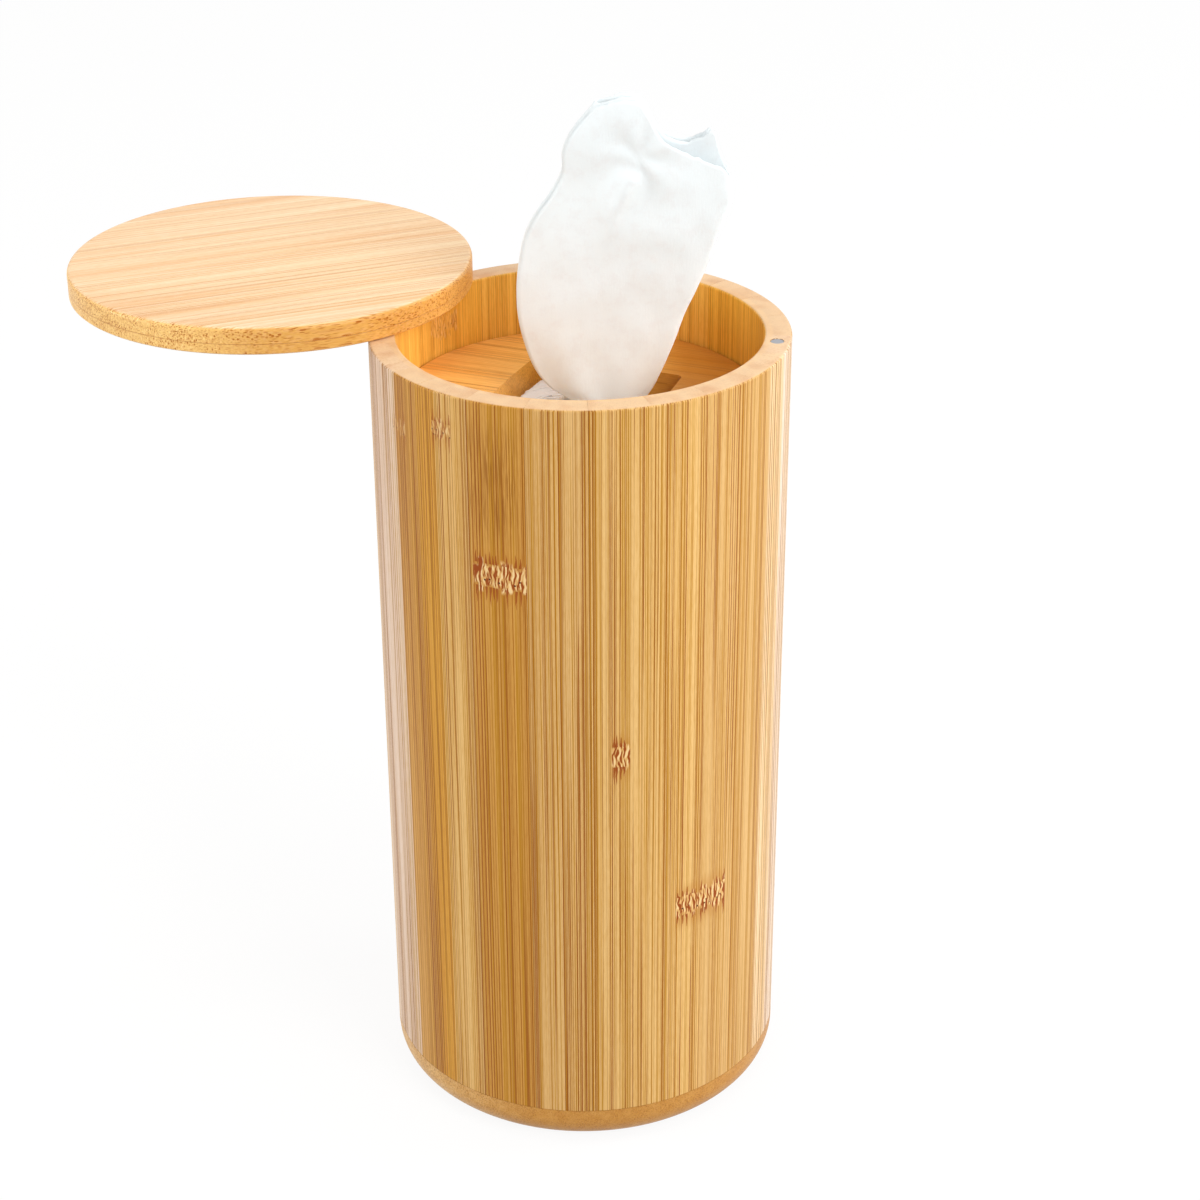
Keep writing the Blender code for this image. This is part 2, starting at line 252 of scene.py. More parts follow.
def seenDirectly(paint):
    light = paint.add("LightPath")
    seen = light.other("Is Camera Ray") + light.other("Is Glossy Ray") + light.other("Is Transmission Ray")
    return seen.math("MINIMUM", seen, 1.0)


def makeLamp(name, place, size, watts):
    lamp = bpy.data.lights.new(name, "AREA")
    lamp.shape = "DISK"
    lamp.size, lamp.energy = size, watts
    stand = addObject(name, lamp)
    stand.location = place
    aim = middleOf("inner_plate") - Vector(place)
    stand.rotation_euler = aim.to_track_quat("-Z", "Y").to_euler()


def makeStudio():
    world = bpy.data.worlds.new("studio")
    bpy.context.scene.world = world
    world.use_nodes = True
    paint = Paint(world)
    sky = paint.add("Background", None, {"Color": studio["skyTint"], "Strength": studio["skyLight"]})
    plain = paint.add("Background", None, {"Color": plainWhite, "Strength": 1.0})
    both = paint.add("MixShader", None, {0: seenDirectly(paint), 1: sky, 2: plain})
    paint.add("OutputWorld", None, {"Surface": both})

    bm = bmesh.new()
    bmesh.ops.create_grid(bm, x_segments=1, y_segments=1, size=studio["floorSize"] / 2)
    mesh = bpy.data.meshes.new("studio_floor")
    bm.to_mesh(mesh)
    bm.free()
    floor = addObject("studio_floor", mesh)
    floor.location.z = -studio["floorGap"]
    paint = newPaint("studio_floor")
    seen = seenDirectly(paint)
    ground = paint.mix(seen, studio["floorBounce"], plainWhite)
    lit = paint.add("BsdfDiffuse", None, {"Color": ground})
    plain = paint.add("Emission", None, {"Color": plainWhite, "Strength": 1.0})
    both = paint.add("MixShader", None, {0: seen * studio["floorWhite"], 1: lit, 2: plain})
    paint.add("OutputMaterial", None, {"Surface": both})
    mesh.materials.append(paint.data)

    for name in ("key_lamp", "top_lamp", "left_lamp", "right_lamp"):
        makeLamp(name, *studio[name])
    bpy.context.scene.view_settings.view_transform = "Standard"


makeStudio()
print("studio lit")


# Bamboo, cut from one solid pattern: a face along the fibres shows lines, a face across them dots

fibre = {
    "wander": 0.4,
    "wanderSize": (14.0, 80.0),
    "depthStretch": 2.5,
    # millimetres between strands, half width at full strength and at none, run along the grain
    "bold": (0.60, 0.105, 0.155, 150.0),
    "fine": (0.36, 0.075, 0.12, 80.0),
    "golden": (0.54, 0.09, 0.24, 110.0),
    "glint": (0.84, 0.08, 0.26, 50.0),
    "kindShift": 100.0,  # how many of its own runs a kind's pattern is shifted by
    "spread": 40.0,  # sets one strand's fading apart from the next's
    "fade": (0.4, 0.42, 0.75),  # what chance adds, then where a strand is gone and full
    "fleckSize": (0.30, 3.2),
    "fleckHeight": 0.6,
    "bandSize": (3.2, 220.0),
    "pores": (0.72, 0.44, 3.4, 0.16, 0.44),  # spacing across, up and along, then radii as shares of it
    "poreSize": (14.0, 4.0),  # of their patches, level and up
    # least share of the pores, fine and bold strands, then the noise where they are few and full
    "porePatches": (0.5, 0.35, 0.60),
    "clusters": (0.3, 0.60, 0.44),
    "tightClusters": (0.2, 0.57, 0.47),
    "deepen": (0.88, 0.79, 0.60, 1.0),
    "lighten": (1.10, 1.17, 1.38, 1.0),
}
lacquer = {"Specular IOR Level": 0.25}  # a thin satin coat over the wood


def strands(paint, kind, across, deep, along):
    gap, core, rim, run = fibre[kind]
    layer = deep / (gap * fibre["depthStretch"])
    bundle = paint.cells(paint.vector((across + fibre["kindShift"] * run) / gap, layer, 0.0))
    chance, other, _ = paint.split(bundle.other("Color"))
    spread = fibre["spread"]
    fade = paint.noise(paint.vector(chance * spread, along / run, other * spread))
    luck, gone, full = fibre["fade"]
    inside = 1 - paint.smooth(bundle, core / gap, rim / gap)
    return inside * paint.smooth(fade + chance * luck, gone, full)


def pores(paint, along, across, z):  # cut ends of the fibre bundles, drawn out where the cut is oblique
    wide, high, run, core, rim = fibre["pores"]
    place = paint.vector(across / wide, along / run, z / high)
    bundle = paint.add("TexVoronoi", None, {"Vector": place, "Scale": 1.0})
    patch = paint.stretched(across, along, z, *fibre["poreSize"], 1.0)
    return (1 - paint.smooth(bundle, core, rim)) * paint.atLeast(patch, *fibre["porePatches"])


def bambooGrain(paint, along, across, deep, base, looks, shareOfLines=1.0):
    sway = paint.stretched(across, deep, along, *fibre["wanderSize"], 1.0) - 0.5
    across = across + sway * fibre["wander"]
    fleck = paint.stretched(across, deep, along, *fibre["fleckSize"])
    band = paint.stretched(across, deep, along, *fibre["bandSize"])
    tone = 0.5 + (fleck - 0.5) * looks["fleck"] + (band - 0.5) * looks["band"]
    darker = paint.mix(1.0, base, fibre["deepen"], "MULTIPLY")
    lighter = paint.mix(1.0, base, fibre["lighten"], "MULTIPLY")
    colour = paint.mix(paint.smooth(tone, 0.0, 1.0), darker, lighter)
    colour = paint.mix(strands(paint, "glint", across, deep, along) * looks["glints"], colour, lighter)
    cluster = paint.atLeast(band, *fibre["clusters"]) * shareOfLines
    tight = paint.atLeast(band, *fibre["tightClusters"]) * shareOfLines
    golden = strands(paint, "golden", across, deep, along) * shareOfLines
    colour = paint.mix(golden * looks["golds"], colour, looks["gold"])
    fine = strands(paint, "fine", across, deep, along) * cluster
    colour = paint.mix(fine * looks["lines"], colour, looks["tan"])
    bold = strands(paint, "bold", across, deep, along) * tight
    colour = paint.mix(bold * looks["lines"], colour, looks["brown"])
    return colour, fleck * fibre["fleckHeight"] - bold


# Staves of the wall

staveShape = {
    "count": 22,
    "firstJointDeg": -104.5,
    "glueLine": 0.04 * mm,
    "rimWall": 8.1 * mm,
    "ledge": 2.0 * mm,
    "seatGap": 0.3 * mm,
    "rimEase": 0.8 * mm,
    "easeSteps": 6,
    "facets": 12,
}
staveLooks = {
    "ochre": rgb(202, 146, 65),
    "golden": rgb(212, 156, 74),
    "amber": rgb(214, 153, 54),
    "honey": rgb(216, 171, 103),
    "straw": rgb(225, 180, 108),
    "pale": rgb(231, 186, 114),
    "cream": rgb(240, 206, 154),
    # blush and rose are pale tints that also serve as painted glare at the wall's edges
    "blush": rgb(247, 224, 196),
    "roseAndGlare": rgb(232, 203, 172),
    # strips of one tint, anticlockwise from the front joint, each from a place counted in staves; the cream,
    # blush and rose strips from 4.5 to 6 and from 17 to 19.32 lie at the wall's right and left edges as seen
    # from the front, and are partly stave tint, partly painted glare
    "strips": ((0, "honey"), (1, "straw"), (2, "straw"), (3, "honey"), (4.5, "cream"), (5.1, "blush"),
               (6, "honey"), (7, "golden"), (8, "amber"), (9, "straw"), (10, "golden"), (11, "pale"),
               (12, "straw"), (13, "honey"), (14, "golden"), (15, "honey"), (16, "pale"), (17, "cream"),
               (18, "roseAndGlare"), (19.32, "golden"), (19.9, "amber"), (20.3, "straw"), (20.82, "honey"),
               (21, "ochre")),
    "rim": rgb(236, 200, 158),
    "rimBlush": rgb(222, 176, 134),
    "rimBlushRange": (0.40, 0.75),
    "rimPatch": (3.7, 9.0),  # shift from stave to stave, and size in millimetres
    "rimGrain": 0.15,  # how much of the wall's colour the rim keeps
    "rimFace": (0.6, 0.97),  # how far up a face looks where end grain starts and is full
    "rimDepth": 2.0,
    # painted light: the wall's inner face is painted brighter and more golden than its outside, with fewer
    # lines, to make up for the shade inside the mouth
    "inside": rgb(255, 194, 72),
    "insideShare": 0.75,
    "insideFrom": (57.5, 56.0),  # millimetres from the axis
    "insideFade": 0.6,  # share of the lines that is missing there
    "staveShift": 37.7,  # millimetres of grain between one stave and the next
    "brown": rgb(144, 74, 0),
    "tan": rgb(152, 90, 0),
    "gold": rgb(180, 124, 8),
    "lines": 1.15,
    "golds": 0.95,
    "glints": 0.6,
    "fleck": 0.9,
    "band": 1.2,
    "roughness": 0.42,
    "relief": 0.015 * mm,
}
nodeMarks = {
    # angle round the wall, millimetres below the rim, width and height in millimetres, strength
    "places": ((-112.0, 53.0, 17.0, 8.5, 1.0), (-79.8, 110.2, 5.5, 8.0, 1.0), (-54.8, 166.9, 19.0, 8.0, 1.0),
               (-146.5, 16.2, 7.0, 5.0, 0.35), (-129.0, 11.1, 7.0, 5.0, 0.65), (20.0, 140.0, 17.0, 8.0, 0.9),
               (69.0, 52.0, 17.0, 8.0, 0.9), (117.0, 190.0, 17.0, 8.0, 0.9), (141.0, 11.0, 14.0, 7.0, 0.7),
               (151.0, 96.0, 16.0, 8.0, 0.9)),
    "wobble": (2.5, 3.5, 1.8),  # size across and up, then reach
    "ends": (3.0, 0.4, -0.9),  # how ragged they are, then where a mark is none and full
    "spikeReach": 8.0,
    "spikeGap": 1.15,
    "spikeWobble": 0.4,
    "spikeLength": (1.5, 4.5, 2.0),  # the least, what chance adds, what the lower ones add
    "spikeFoot": 0.6,  # how far they start within the mark
    "spikeHalf": 0.32,  # half width at the foot, as a share of the gap
    "lensSize": (0.8, 4.6, 5.0),  # across and up, then which slice of the noise
    # the lenses are painted as if lit from one side: a painted highlight on one flank and painted shade on
    # the other, beside the real dark strokes
    "lensTilt": 0.24,
    "reliefShadeSlopes": (-0.01, 0.07),  # of the lenses, where a stroke, partly painted shade on a lens's flank, is none and full
    # of the lenses, where the painted highlight on their other flank is none and full
    "reliefHighlightSlopes": (-0.05, -0.16),
    "broadSize": (1.9, 9.0, 2.0),  # of the broad strokes, which keep to the left
    "broadRange": (0.54, 0.66),
    "broadSide": (-0.14, -0.24),  # shares of the mark's width from its middle
    "hazeReach": 6.0,
    "specks": (2.6, 0.10, 1.4),  # gap, radius where full, and how many times that where gone
    "speckRow": (1.4, 1.0),  # millimetres below the mark's middle, and half its height
    "insideShare": 0.45,
    "hazeShare": 0.4,
    "heartShare": 0.7,
    "reliefHighlightShare": 0.75,
    "spikeShare": 0.85,
    "heart": rgb(228, 180, 110),
    # the painted highlight on the lit flank of each lens
    "reliefHighlight": rgb(248, 218, 162),
    # colour of the dark strokes and spikes, and of the painted shade on each lens's shaded flank
    "strokeAndReliefShade": rgb(150, 68, 0),
    "haze": rgb(182, 116, 30),
    "speck": rgb(84, 46, 18),
}
stain = {
    # a darker stretch in the grain, with short dashes: place as above
    "place": (-113.5, 24.0, 17.0, 44.0),
    "fullWithin": (6.5, 8.8),  # millimetres from its middle, across and up
    "dashSize": (0.40, 14.0, 3.0),
    "dashRange": (0.42, 0.62),
    "tone": rgb(140, 80, 0),
    "share": 0.7,
}


def staveTurn(paint, x, y):  # 0 at the first joint, then up by one for each stave
    angle = math.radians(staveShape["firstJointDeg"]) + math.pi
    ahead = x * math.cos(angle) + y * math.sin(angle)
    aside = y * math.cos(angle) - x * math.sin(angle)
    return (ahead.math("ARCTAN2", aside, ahead) / fullTurn + 0.5) * staveShape["count"]


def paintStain(paint, arc, z, arcOf, colour):
    angle, below, width, height = stain["place"]
    aside, above = abs(arc - arcOf(angle)), abs(z - (rimZ / mm - below))
    fullAside, fullAbove = stain["fullWithin"]
    inside = paint.smooth(aside, width / 2, fullAside) * paint.smooth(above, height / 2, fullAbove)
    across, along, part = stain["dashSize"]
    dash = paint.noise(paint.vector(arc / across, z / along, part), 2.0)
    dashes = paint.smooth(dash, *stain["dashRange"])
    return paint.mix(inside * dashes * stain["share"], colour, stain["tone"])


def paintNodeMarks(paint, arc, z, arcOf, colour, strength):
    looks = nodeMarks
    inside = beyond = rise = side = 0.0
    for angle, below, width, height, power in looks["places"]:
        aside, above = arc - arcOf(angle), z - (rimZ / mm - below)
        near = (abs(aside) < width / 2) * (abs(above) < height / 2 + looks["spikeReach"])
        inside = inside + near * power
        beyond = beyond + near * (abs(above) - height / 2)
        rise = rise + near * above
        side = side + near * aside / width
    width, run, bend = looks["wobble"]
    wobble = (paint.noise(paint.vector(arc / width, z / run, 0.0)) - 0.5) * bend
    bent = arc + wobble
    column = paint.vector((arc + wobble * looks["spikeWobble"]) / looks["spikeGap"], 0.5, 0.0)
    column = paint.cells(column)
    chance, other, _ = paint.split(column.other("Color"))
    ragged, none, full = looks["ends"]
    heart = inside * paint.smooth(beyond + (chance - 0.5) * ragged, none, full)

    width, run, part = looks["lensSize"]
    tilt = looks["lensTilt"]
    # the slope across the lenses: painted shade where it rises, painted highlight where it falls
    slope = (paint.noise(paint.vector((bent + tilt) / width, z / run, part))
             - paint.noise(paint.vector((bent - tilt) / width, z / run, part)))
    width, run, part = looks["broadSize"]
    broad = paint.noise(paint.vector(bent / width, z / run, part))
    broad = paint.smooth(broad, *looks["broadRange"]) * paint.smooth(side, *looks["broadSide"])
    strokeAndReliefShade = heart * paint.smooth(slope, *looks["reliefShadeSlopes"]) + heart * broad
    least, luck, lower = looks["spikeLength"]
    reach = least + other * luck + (rise < 0) * lower
    narrowed = (1 - beyond / reach) * looks["spikeHalf"]
    spike = inside * (beyond > -looks["spikeFoot"]) * (column < narrowed)
    haze = inside * paint.smooth(beyond, looks["hazeReach"], 0.0) * looks["hazeShare"]

    gap, size, fade = looks["specks"]
    below, half = looks["speckRow"]
    dots = paint.smooth(paint.cells(paint.vector(arc / gap, z / gap, 0.0)), size * fade, size)
    dots = inside * dots * (abs(rise + below) < half)
    colour = paint.mix(haze * strength, colour, looks["haze"])
    colour = paint.mix(heart * looks["heartShare"] * strength, colour, looks["heart"])
    # painted highlight on the lit flank of each lens
    reliefHighlight = heart * paint.smooth(slope, *looks["reliefHighlightSlopes"])
    colour = paint.mix(reliefHighlight * looks["reliefHighlightShare"] * strength, colour, looks["reliefHighlight"])
    strokeAndReliefShade = strokeAndReliefShade.math("MINIMUM", strokeAndReliefShade + spike * looks["spikeShare"], 1.0)
    colour = paint.mix(strokeAndReliefShade * strength, colour, looks["strokeAndReliefShade"])
    colour = paint.mix(dots * strength, colour, looks["speck"])
    return colour, (heart - strokeAndReliefShade * 2) * strength


def makeStavePaint():
    paint = newPaint("bamboo_staves")
    looks = staveLooks
    x, y, z = paint.place()
    turn = staveTurn(paint, x, y)
    number = turn.math("FLOOR", turn)
    count = staveShape["count"]
    pitch = fullTurn * bodyRadius / mm / count
    arc = turn * pitch
    radius = x * x + y * y
    radius = radius.math("SQRT", radius)
    stops = [(start / count, looks[word]) for start, word in looks["strips"]]
    base = paint.add("ValToRGB", {"stops": stops}, {0: turn / count})
    # the inner face takes the painted light that makes up for the shade inside the mouth
    inner = paint.smooth(radius, *looks["insideFrom"])
    base = paint.mix(inner * looks["insideShare"], base, looks["inside"])
    across = arc + number * looks["staveShift"]
    colour, height = bambooGrain(paint, z, across, radius, base, looks, 1 - inner * looks["insideFade"])

    def arcOf(angleDeg):
        return (angleDeg - staveShape["firstJointDeg"]) % 360 / 360 * count * pitch

    colour = paintStain(paint, arc, z, arcOf, colour)
    marks = 1 - inner * (1 - nodeMarks["insideShare"])
    colour, markHeight = paintNodeMarks(paint, arc, z, arcOf, colour, marks)
    topCut = paint.smooth(paint.normal()[2], *looks["rimFace"]) * (z > rimZ / mm - looks["rimDepth"])
    shift, size = looks["rimPatch"]
    patch = paint.noise(paint.vector(number * shift, arc / size, radius / size))
    rim = paint.mix(paint.smooth(patch, *looks["rimBlushRange"]), looks["rim"], looks["rimBlush"])
    rim = paint.mix(looks["rimGrain"], rim, colour)
    colour = paint.mix(topCut, colour, rim)
    return paint.finish(colour, looks["roughness"], height + markHeight, looks["relief"], lacquer)


def rounded(centreR, centreZ, radius, fromDeg, toDeg, steps):
    angles = [math.radians(fromDeg + (toDeg - fromDeg) * i / steps) for i in range(steps + 1)]
    return [(centreR + radius * math.cos(a), centreZ + radius * math.sin(a)) for a in angles]


def meshPiece(name, bm, material, sharp=sharpDeg):
    bmesh.ops.remove_doubles(bm, verts=bm.verts, dist=0.001 * mm)
    bmesh.ops.recalc_face_normals(bm, faces=bm.faces)
    mesh = bpy.data.meshes.new(name)
    bm.to_mesh(mesh)
    bm.free()
    mesh.shade_smooth()
    mesh.set_sharp_from_angle(angle=math.radians(sharp))
    mesh.materials.append(material)
    return addObject(name, mesh)


def turnedPiece(name, outline, material, facets, startDeg=0.0, sweepDeg=360.0, middle=(0.0, 0.0)):
    # a closed (radius, height) outline taken round an upright line
    whole = sweepDeg == 360.0
    bm = bmesh.new()
    rings = []
    for step in range(facets if whole else facets + 1):
        angle = math.radians(startDeg + sweepDeg * step / facets)
        rings.append([bm.verts.new((middle[0] + r * math.cos(angle), middle[1] + r * math.sin(angle), z))
                      for r, z in outline])
    for step in range(facets):
        here, there = rings[step], rings[(step + 1) % len(rings)]
        for i in range(len(outline)):
            j = (i + 1) % len(outline)
            if outline[i][0] or outline[j][0]:
                bm.faces.new((here[i], there[i], there[j], here[j]))
    if not whole:
        bm.faces.new(rings[0])
        bm.faces.new(rings[-1])
    return meshPiece(name, bm, material)


def applied(piece):  # the shape that the modifiers give becomes the mesh itself
    bpy.context.view_layer.update()
    mesh = bpy.data.meshes.new_from_object(piece.evaluated_get(bpy.context.evaluated_depsgraph_get()))
    piece.modifiers.clear()
    piece.data = mesh
    return mesh


def cutAway(piece, hole):
    cut = piece.modifiers.new("hole", "BOOLEAN")
    cut.operation, cut.solver, cut.object = "DIFFERENCE", "EXACT", hole
    applied(piece).set_sharp_from_angle(angle=math.radians(sharpDeg))
    bpy.data.objects.remove(hole, do_unlink=True)


def drill(piece, middle, radius, low, high):
    outline = [(0.0, low), (radius, low), (radius, high), (0.0, high)]
    cutAway(piece, turnedPiece("drill", outline, piece.data.materials[0], hardware["drillFacets"],
                               middle=middle))


def easedDisc(radius, low, high, ease):
    return [(0.0, low), (radius - ease, low), (radius, low + ease), (radius, high - ease),
            (radius - ease, high), (0.0, high)]


def dress(piece, body, node):
    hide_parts(node)
    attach(piece, body)


hardware = {
    "magnetGlue": 0.1 * mm,
    "magnetLip": 0.5 * mm,  # lacquer that closes over the magnet's edge
    "magnetEase": 0.15 * mm,
    "pinGlue": 0.05 * mm,
    "pinPlay": 0.1 * mm,
    "overrun": 2.0 * mm,
    "magnetFacets": 64,
    "drillFacets": 48,
}


def makeStaves():
    shape = staveShape
    bore = bodyRadius - shape["rimWall"]
    lowerBore = bore - shape["ledge"]
    ledgeZ = plateLow[2] - shape["seatGap"]
    ease = shape["rimEase"]
    outline = [(bodyRadius, staveFootZ)]
    outline += rounded(bodyRadius - ease, rimZ - ease, ease, 0, 90, shape["easeSteps"])
    outline += rounded(bore + ease, rimZ - ease, ease, 90, 180, shape["easeSteps"])
    outline += [(bore, ledgeZ), (lowerBore, ledgeZ), (lowerBore, staveFootZ)]
    pitch = 360.0 / shape["count"]
    glue = math.degrees(shape["glueLine"] / bodyRadius)
    magnetSlack = hardware["magnetGlue"] - hardware["magnetLip"]
    paint = makeStavePaint()
    for number in range(shape["count"]):
        start = shape["firstJointDeg"] + pitch * number + glue / 2
        node = f"stave_{number + 1:02d}"
        stave = turnedPiece("wall_" + node, outline, paint, shape["facets"], start, pitch - glue)
        for held, slack in (("pivot_pin", hardware["pinGlue"]), ("rim_magnet", magnetSlack)):
            middle = middleOf(held)
            turn = (math.degrees(math.atan2(middle.y, middle.x)) - start) % 360
            if turn < pitch:
                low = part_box(held)[0][2] - abs(slack)
                drill(stave, middle, boxRadius(held) + slack, low, rimZ + hardware["overrun"])
        dress(stave, "canister", node)


makeStaves()
print("staves made")


# Discs of bamboo: base, plate and lid

baseShape = {
    "thickness": 13.0 * mm,
    "fillet": 10.0 * mm,
    "spigotFit": 0.2 * mm,
    "filletSteps": 20,
}
plateShape = {
    "ease": 0.5 * mm,
    "openingSide": 47.8 * mm,
    "openingBow": 0.8 * mm,
    "openingTurnDeg": -21.5,
    "cornerRound": 1.6 * mm,
    "sideSteps": 12,
    "cornerSteps": 6,
}
lidShape = {"topRound": 1.4 * mm, "underEase": 0.4 * mm, "roundSteps": 8}
discFacets = 264
# dusk is a darker stretch towards the right: millimetres to the right where it starts and is full, then its
# share; on the base and the plate it is painted shade
discLooks = {
    "base": {
        "grainDeg": 90.0, "tone": rgb(228, 184, 122), "end": rgb(226, 180, 112), "blush": rgb(220, 172, 104),
        "brown": rgb(158, 98, 32), "tan": rgb(178, 118, 40), "gold": rgb(196, 140, 52), "lines": 0.4,
        "golds": 0.45, "glints": 0.6, "fleck": 0.8, "band": 0.7, "pores": 0.6,
        # the base's darker stretch is painted shade under the body's edge, from the middle to the right
        "dusk": (-52.0, -12.0, 0.75), "dusky": rgb(190, 128, 44), "endBrown": rgb(150, 84, 8),
    },
    "plate": {
        "grainDeg": -21.5, "tone": rgb(252, 192, 102), "end": rgb(240, 178, 80), "blush": rgb(244, 178, 86),
        "brown": rgb(150, 82, 16), "tan": rgb(184, 112, 24), "gold": rgb(210, 140, 42), "lines": 0.5,
        "golds": 0.45, "glints": 0.5, "fleck": 0.9, "band": 0.3, "pores": 0.2,
        # the plate's darker stretch is painted shade, cast by the right wall and the wipe onto its right part
        "dusk": (12.0, 34.0, 0.8), "dusky": rgb(186, 110, 22), "endBrown": rgb(170, 100, 16),
    },
    "lid": {
        "grainDeg": 22.3, "tone": rgb(250, 219, 174), "end": rgb(252, 207, 126), "blush": rgb(247, 204, 154),
        "brown": rgb(206, 132, 66), "tan": rgb(222, 158, 92), "gold": rgb(234, 178, 108), "lines": 0.85,
        "golds": 0.6, "glints": 0.9, "fleck": 0.95, "band": 0.2, "pores": 1.0,
        "dusk": (-120.0, -84.0, 0.6), "dusky": rgb(210, 138, 30), "endBrown": rgb(176, 96, 8),
    },
    "sideFace": (0.95, 0.55),  # as rimFace
    "patchSize": (6.0, 9.0, 90.0),  # millimetres across the grain, up and along it
    "blushRange": (0.44, 0.68),
    "seamHalf": 0.12,  # the lid's glue line, in millimetres
    "seamShare": 0.35,
    "lowerPores": 0.6,  # share of the pores that the lower ply shows
    "roughness": 0.38,
    "relief": 0.02 * mm,
}


def makeDiscPaint(name, seam=None):
    looks = discLooks[name]
    paint = newPaint("bamboo_" + name)
    x, y, z = paint.place()
    angle = math.radians(looks["grainDeg"])
    along = x * math.cos(angle) + y * math.sin(angle)
    across = y * math.cos(angle) - x * math.sin(angle)
    sideways = paint.smooth(abs(paint.normal()[2]), *discLooks["sideFace"])
    wide, high, run = discLooks["patchSize"]
    patch = paint.noise(paint.vector(across / wide, z / high, along / run), 2.0)
    base = paint.mix(paint.smooth(patch, *discLooks["blushRange"]), looks["tone"], looks["blush"])
    base = paint.mix(sideways, base, looks["end"])
    # darker towards the right; on the base and the plate this is painted shade
    start, full, share = looks["dusk"]
    dusk = paint.smooth(x, start, full) * share
    base = paint.mix(dusk * sideways if seam else dusk, base, looks["dusky"])
    brown = paint.mix(sideways, looks["brown"], looks["endBrown"])
    colour, height = bambooGrain(paint, along, across, z, base, {**looks, "brown": brown})
    ends = pores(paint, along, across, z) * sideways
    if seam:
        half = discLooks["seamHalf"]
        glue = paint.smooth(abs(z - seam / mm), half * 2, half) * sideways
        colour = paint.mix(glue * discLooks["seamShare"], colour, looks["endBrown"])
        least = discLooks["lowerPores"]
        ends = ends * (least + (1 - least) * (z > seam / mm))
    colour = paint.mix(ends * looks["pores"], colour, looks["endBrown"])
    height = height - ends
    return paint.finish(colour, discLooks["roughness"], height, discLooks["relief"], lacquer)


def makeBase():
    shape = baseShape
    spigot = bodyRadius - staveShape["rimWall"] - staveShape["ledge"] - shape["spigotFit"]
    fillet = shape["fillet"]
    outline = [(0.0, 0.0)]
    outline += rounded(bodyRadius - fillet, fillet, fillet, -90, 0, shape["filletSteps"])
    outline += [(bodyRadius, shape["thickness"]), (spigot, shape["thickness"]), (spigot, spigotTopZ),
                (0.0, spigotTopZ)]
    base = turnedPiece("turned_base", outline, makeDiscPaint("base"), discFacets)
    dress(base, "canister", "base_disc")


def openingPoints():
    # one side with its bow, ending in the round corner, four times
    shape = plateShape
    half, corner = shape["openingSide"] / 2, shape["cornerRound"]
    side = []
    for step in range(shape["sideSteps"] + 1):
        across = (2 * step / shape["sideSteps"] - 1) * (half - corner)
        side.append(Vector((across, -half - shape["openingBow"] * (1 - (across / half) ** 2), 0.0)))
    for step in range(1, shape["cornerSteps"]):
        angle = math.radians(-90 + 90 * step / shape["cornerSteps"])
        across = half - corner + corner * math.cos(angle)
        side.append(Vector((across, -half + corner + corner * math.sin(angle), 0.0)))
    points = []
    for quarter in range(4):
        turn = Matrix.Rotation(math.radians(shape["openingTurnDeg"] + 90 * quarter), 3, "Z")
        points += [turn @ point for point in side]
    return points


def makePlate():
    low, high, overrun = plateLow[2], plateHigh[2], hardware["overrun"]
    outline = easedDisc(plateHigh[0], low, high, plateShape["ease"])
    plate = turnedPiece("inner_plate_disc", outline, makeDiscPaint("plate"), discFacets)
    bm = bmesh.new()
    points = openingPoints()
    under, over = [[bm.verts.new((p.x, p.y, z)) for p in points] for z in (low - overrun, high + overrun)]
    for i in range(len(under)):
        j = (i + 1) % len(under)
        bm.faces.new((under[i], under[j], over[j], over[i]))
    bm.faces.new(under)
    bm.faces.new(over)
    cutAway(plate, meshPiece("opening", bm, plate.data.materials[0]))
    dress(plate, "plate", "inner_plate")


def makeLid():
    paint = makeDiscPaint("lid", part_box("lid_top_ply")[0][2])
    middle = middleOf("lid_top_ply")
    radius = boxRadius("lid_top_ply")
    pin, magnet, overrun = middleOf("pivot_pin"), middleOf("lid_magnet"), hardware["overrun"]
    low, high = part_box("lid_top_ply")[0][2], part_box("lid_top_ply")[1][2]
    bend = lidShape["topRound"]
    outline = [(0.0, low), (radius, low)]
    outline += rounded(radius - bend, high - bend, bend, 0, 90, lidShape["roundSteps"])
    top = turnedPiece("lid_upper_ply", outline + [(0.0, high)], paint, discFacets, middle=middle)
    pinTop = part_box("pivot_pin")[1][2] + 3 * hardware["pinPlay"]
    pinHole = boxRadius("pivot_pin") + hardware["pinPlay"]
    drill(top, pin, pinHole, low - overrun, pinTop)
    dress(top, "lid", "lid_top_ply")

    low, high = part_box("lid_bottom_ply")[0][2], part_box("lid_bottom_ply")[1][2]
    ease = lidShape["underEase"]
    outline = [(0.0, low), (radius - ease, low), (radius, low + ease), (radius, high), (0.0, high)]
    bottom = turnedPiece("lid_lower_ply", outline, paint, discFacets, middle=middle)
    magnetHole = boxRadius("lid_magnet") + hardware["magnetGlue"] - hardware["magnetLip"]
    drill(bottom, pin, pinHole, low - overrun, high + overrun)
    drill(bottom, magnet, magnetHole, low - overrun, high + overrun)
    dress(bottom, "lid", "lid_bottom_ply")


makeBase()
makePlate()
makeLid()
print("base, plate and lid made")


# Magnets and pin

metalLooks = {
    "nickel": rgb(176, 178, 184),
    "steel": rgb(168, 168, 172),
    "scuffed": (0.42, 0.42, 0.44, 1.0),
    "scuffsPerMm": 1.7,
    "scuffRough": (0.25, 0.12),  # what a scuff adds, and how much smoother the rest is
    "roughness": 0.38,
}


